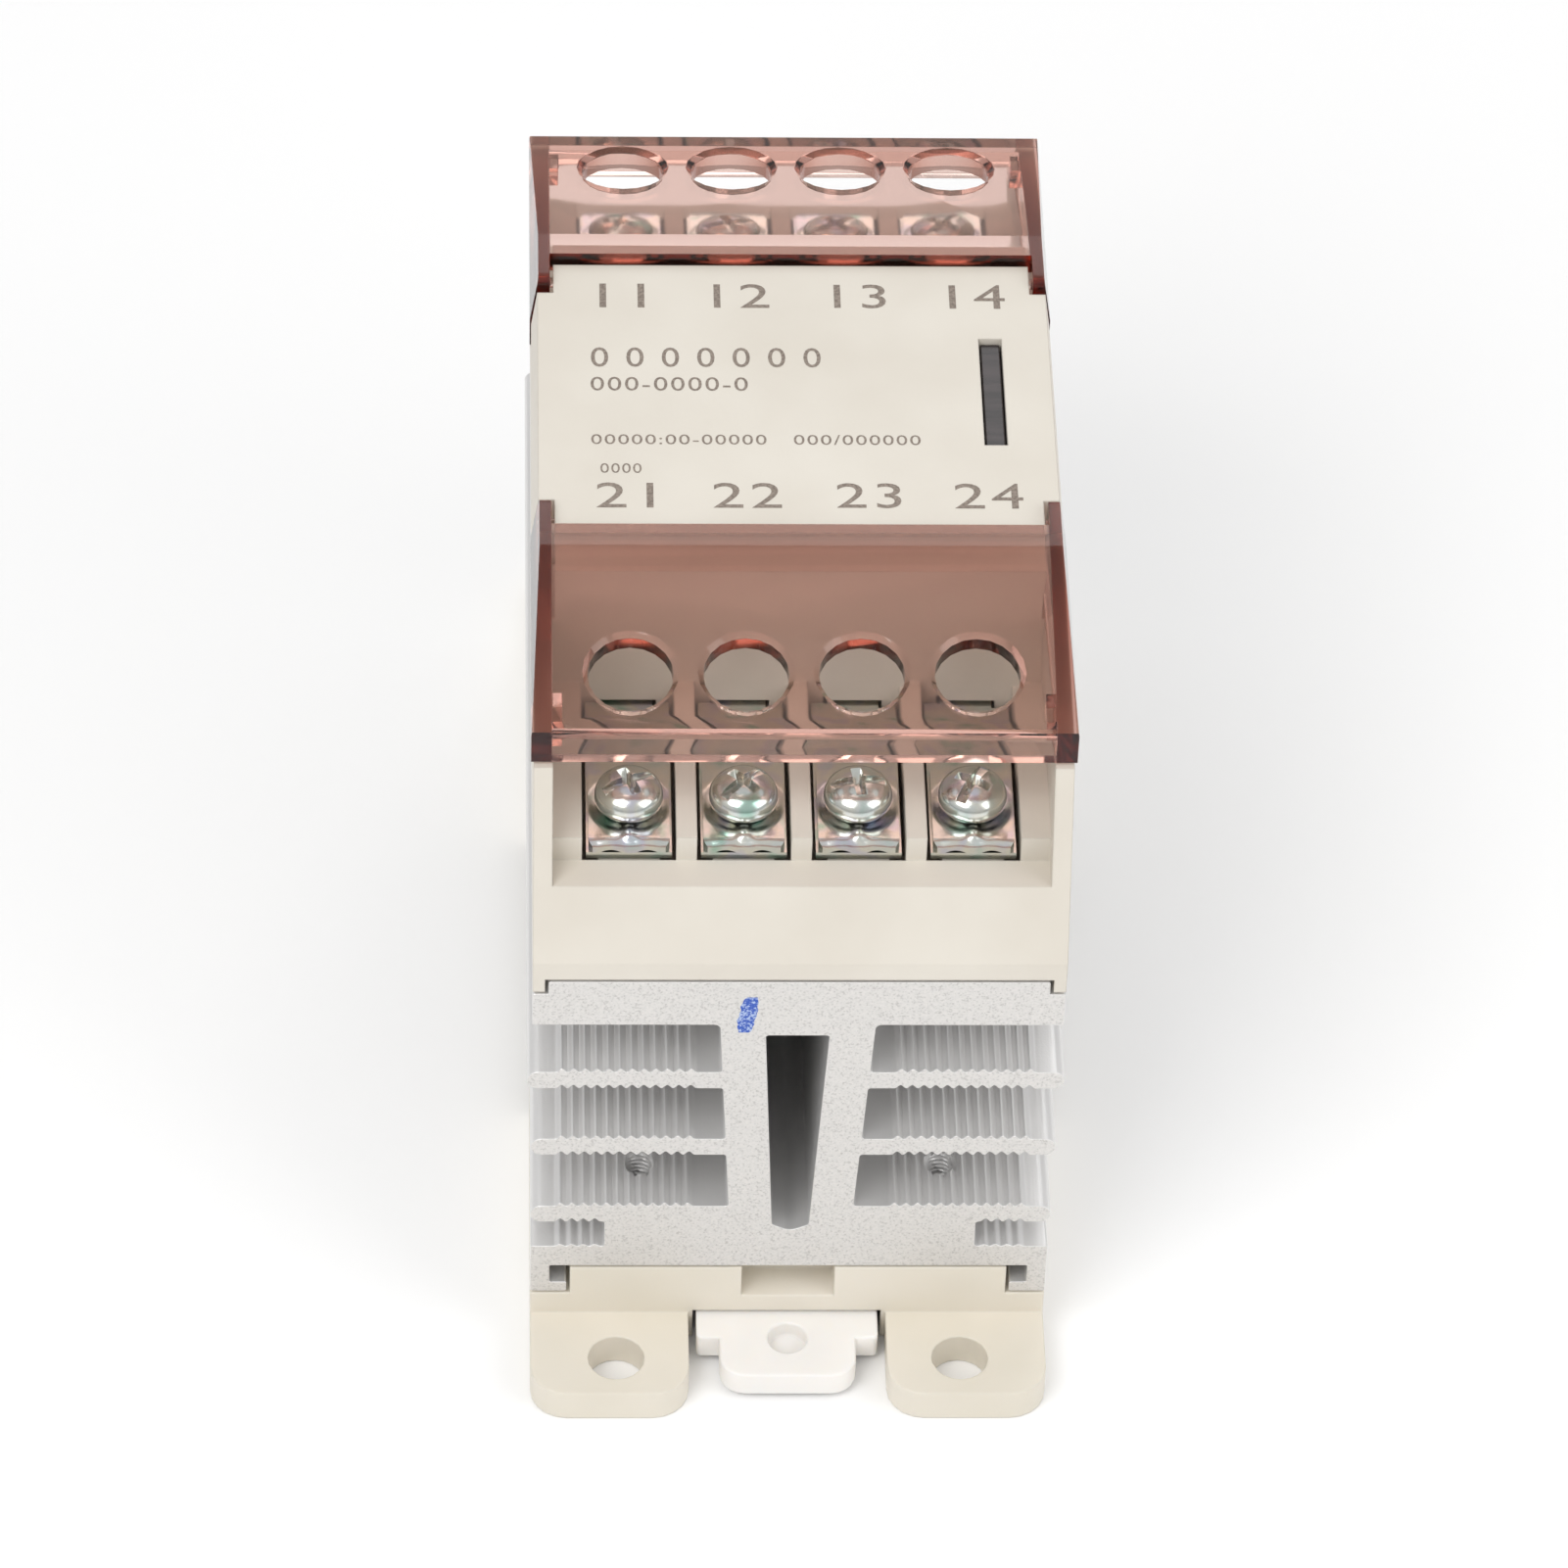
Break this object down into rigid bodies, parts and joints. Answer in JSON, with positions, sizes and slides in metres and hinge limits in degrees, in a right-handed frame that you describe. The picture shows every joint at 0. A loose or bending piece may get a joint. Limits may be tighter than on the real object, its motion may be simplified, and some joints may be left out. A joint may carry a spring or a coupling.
{
  "type": "solid state relay",
  "caption": "Panel or rail mounted solid state relay: finned heat sink, beige case, hinged clear-brown terminal covers, screw clamps and a sliding rail clip.",
  "frame": {"origin": "middle of the mounting face, at the bottom of the bounding box", "axes": "+X across the relay, +Y towards the line terminals (the rail clip is at -Y), +Z away from the mounting face"},
  "size_m": [0.0458, 0.108, 0.0722],
  "materials": {
    "case": "fine-grained beige moulding",
    "sink": "as-extruded, sawn ends",
    "nylon": "natural white nylon",
    "cover": "clear brown polycarbonate",
    "zinc": "zinc plated, faintly iridescent",
    "board": "solder-masked glass epoxy",
    "epoxy": "moulded black epoxy",
    "ceramic": "white insulating pad",
    "film": "blue dipped film capacitor",
    "lens": "dark smoked lens",
    "lamp": "red indicator lamp"
  },
  "bodies": {
    "relay": {"mounting_base": "case", "heat_sink": "sink", "housing": "case", "insulating_pad": "ceramic", "control_board": "board", "indicator_led": "lamp", "indicator_window": "lens", "base_screw_1": "zinc", "base_screw_2": "zinc", "base_screw_3": "zinc", "base_screw_4": "zinc", "board_screw_1": "zinc", "board_screw_2": "zinc", "triac_1": "epoxy", "triac_2": "epoxy", "triac_3": "epoxy", "triac_screw_1": "zinc", "triac_screw_2": "zinc", "triac_screw_3": "zinc", "optocoupler_1": "epoxy", "optocoupler_2": "epoxy", "optocoupler_3": "epoxy", "snubber_capacitor_1": "film", "snubber_capacitor_2": "film", "snubber_capacitor_3": "film", "load_plate_1": "zinc", "load_plate_2": "zinc", "load_plate_3": "zinc", "load_plate_4": "zinc", "line_plate_1": "zinc", "line_plate_2": "zinc", "line_plate_3": "zinc", "line_plate_4": "zinc"},
    "load_cover": {"load_cover": "cover"},
    "line_cover": {"line_cover": "cover"},
    "rail_clip": {"rail_clip": "nylon"},
    "load_clamp_1": {"load_clamp_1": "zinc"},
    "load_screw_1": {"load_screw_1": "zinc"},
    "load_clamp_2": {"load_clamp_2": "zinc"},
    "load_screw_2": {"load_screw_2": "zinc"},
    "load_clamp_3": {"load_clamp_3": "zinc"},
    "load_screw_3": {"load_screw_3": "zinc"},
    "load_clamp_4": {"load_clamp_4": "zinc"},
    "load_screw_4": {"load_screw_4": "zinc"},
    "line_clamp_1": {"line_clamp_1": "zinc"},
    "line_screw_1": {"line_screw_1": "zinc"},
    "line_clamp_2": {"line_clamp_2": "zinc"},
    "line_screw_2": {"line_screw_2": "zinc"},
    "line_clamp_3": {"line_clamp_3": "zinc"},
    "line_screw_3": {"line_screw_3": "zinc"},
    "line_clamp_4": {"line_clamp_4": "zinc"},
    "line_screw_4": {"line_screw_4": "zinc"}
  },
  "joints": [
    {"name": "load_cover_hinge", "type": "hinge", "parent": "relay", "child": "load_cover", "pos_m": [0, -0.01535, 0.07045], "axis": [-1, 0, 0], "range_deg": [0, 100]},
    {"name": "line_cover_hinge", "type": "hinge", "parent": "relay", "child": "line_cover", "pos_m": [0, 0.01535, 0.07045], "axis": [1, 0, 0], "range_deg": [0, 100]},
    {"name": "rail_clip_slide", "type": "slide", "parent": "relay", "child": "rail_clip", "axis": [0, -1, 0], "range_m": [0, 0.004], "stiffness_N_per_m": 1500},
    {"name": "load_clamp_lift_1", "type": "slide", "parent": "relay", "child": "load_clamp_1", "axis": [0, 0, 1], "range_m": [0, 0.002]},
    {"name": "load_screw_turn_1", "type": "hinge", "parent": "load_clamp_1", "child": "load_screw_1", "pos_m": [-0.01446, -0.0338, 0.0561], "axis": [0, 0, 1], "range_deg": [0, 1440]},
    {"name": "load_clamp_lift_2", "type": "slide", "parent": "relay", "child": "load_clamp_2", "axis": [0, 0, 1], "range_m": [0, 0.002]},
    {"name": "load_screw_turn_2", "type": "hinge", "parent": "load_clamp_2", "child": "load_screw_2", "pos_m": [-0.00482, -0.0338, 0.0561], "axis": [0, 0, 1], "range_deg": [0, 1440]},
    {"name": "load_clamp_lift_3", "type": "slide", "parent": "relay", "child": "load_clamp_3", "axis": [0, 0, 1], "range_m": [0, 0.002]},
    {"name": "load_screw_turn_3", "type": "hinge", "parent": "load_clamp_3", "child": "load_screw_3", "pos_m": [0.00482, -0.0338, 0.0561], "axis": [0, 0, 1], "range_deg": [0, 1440]},
    {"name": "load_clamp_lift_4", "type": "slide", "parent": "relay", "child": "load_clamp_4", "axis": [0, 0, 1], "range_m": [0, 0.002]},
    {"name": "load_screw_turn_4", "type": "hinge", "parent": "load_clamp_4", "child": "load_screw_4", "pos_m": [0.01446, -0.0338, 0.0561], "axis": [0, 0, 1], "range_deg": [0, 1440]},
    {"name": "line_clamp_lift_1", "type": "slide", "parent": "relay", "child": "line_clamp_1", "axis": [0, 0, 1], "range_m": [0, 0.002]},
    {"name": "line_screw_turn_1", "type": "hinge", "parent": "line_clamp_1", "child": "line_screw_1", "pos_m": [-0.01446, 0.0338, 0.0561], "axis": [0, 0, 1], "range_deg": [0, 1440]},
    {"name": "line_clamp_lift_2", "type": "slide", "parent": "relay", "child": "line_clamp_2", "axis": [0, 0, 1], "range_m": [0, 0.002]},
    {"name": "line_screw_turn_2", "type": "hinge", "parent": "line_clamp_2", "child": "line_screw_2", "pos_m": [-0.00482, 0.0338, 0.0561], "axis": [0, 0, 1], "range_deg": [0, 1440]},
    {"name": "line_clamp_lift_3", "type": "slide", "parent": "relay", "child": "line_clamp_3", "axis": [0, 0, 1], "range_m": [0, 0.002]},
    {"name": "line_screw_turn_3", "type": "hinge", "parent": "line_clamp_3", "child": "line_screw_3", "pos_m": [0.00482, 0.0338, 0.0561], "axis": [0, 0, 1], "range_deg": [0, 1440]},
    {"name": "line_clamp_lift_4", "type": "slide", "parent": "relay", "child": "line_clamp_4", "axis": [0, 0, 1], "range_m": [0, 0.002]},
    {"name": "line_screw_turn_4", "type": "hinge", "parent": "line_clamp_4", "child": "line_screw_4", "pos_m": [0.01446, 0.0338, 0.0561], "axis": [0, 0, 1], "range_deg": [0, 1440]}
  ],
  "couplings": [
    {"joint": "load_screw_turn_1", "follows": "load_clamp_lift_1", "rad_per_m": 12566},
    {"joint": "load_screw_turn_2", "follows": "load_clamp_lift_2", "rad_per_m": 12566},
    {"joint": "load_screw_turn_3", "follows": "load_clamp_lift_3", "rad_per_m": 12566},
    {"joint": "load_screw_turn_4", "follows": "load_clamp_lift_4", "rad_per_m": 12566},
    {"joint": "line_screw_turn_1", "follows": "line_clamp_lift_1", "rad_per_m": 12566},
    {"joint": "line_screw_turn_2", "follows": "line_clamp_lift_2", "rad_per_m": 12566},
    {"joint": "line_screw_turn_3", "follows": "line_clamp_lift_3", "rad_per_m": 12566},
    {"joint": "line_screw_turn_4", "follows": "line_clamp_lift_4", "rad_per_m": 12566}
  ]
}
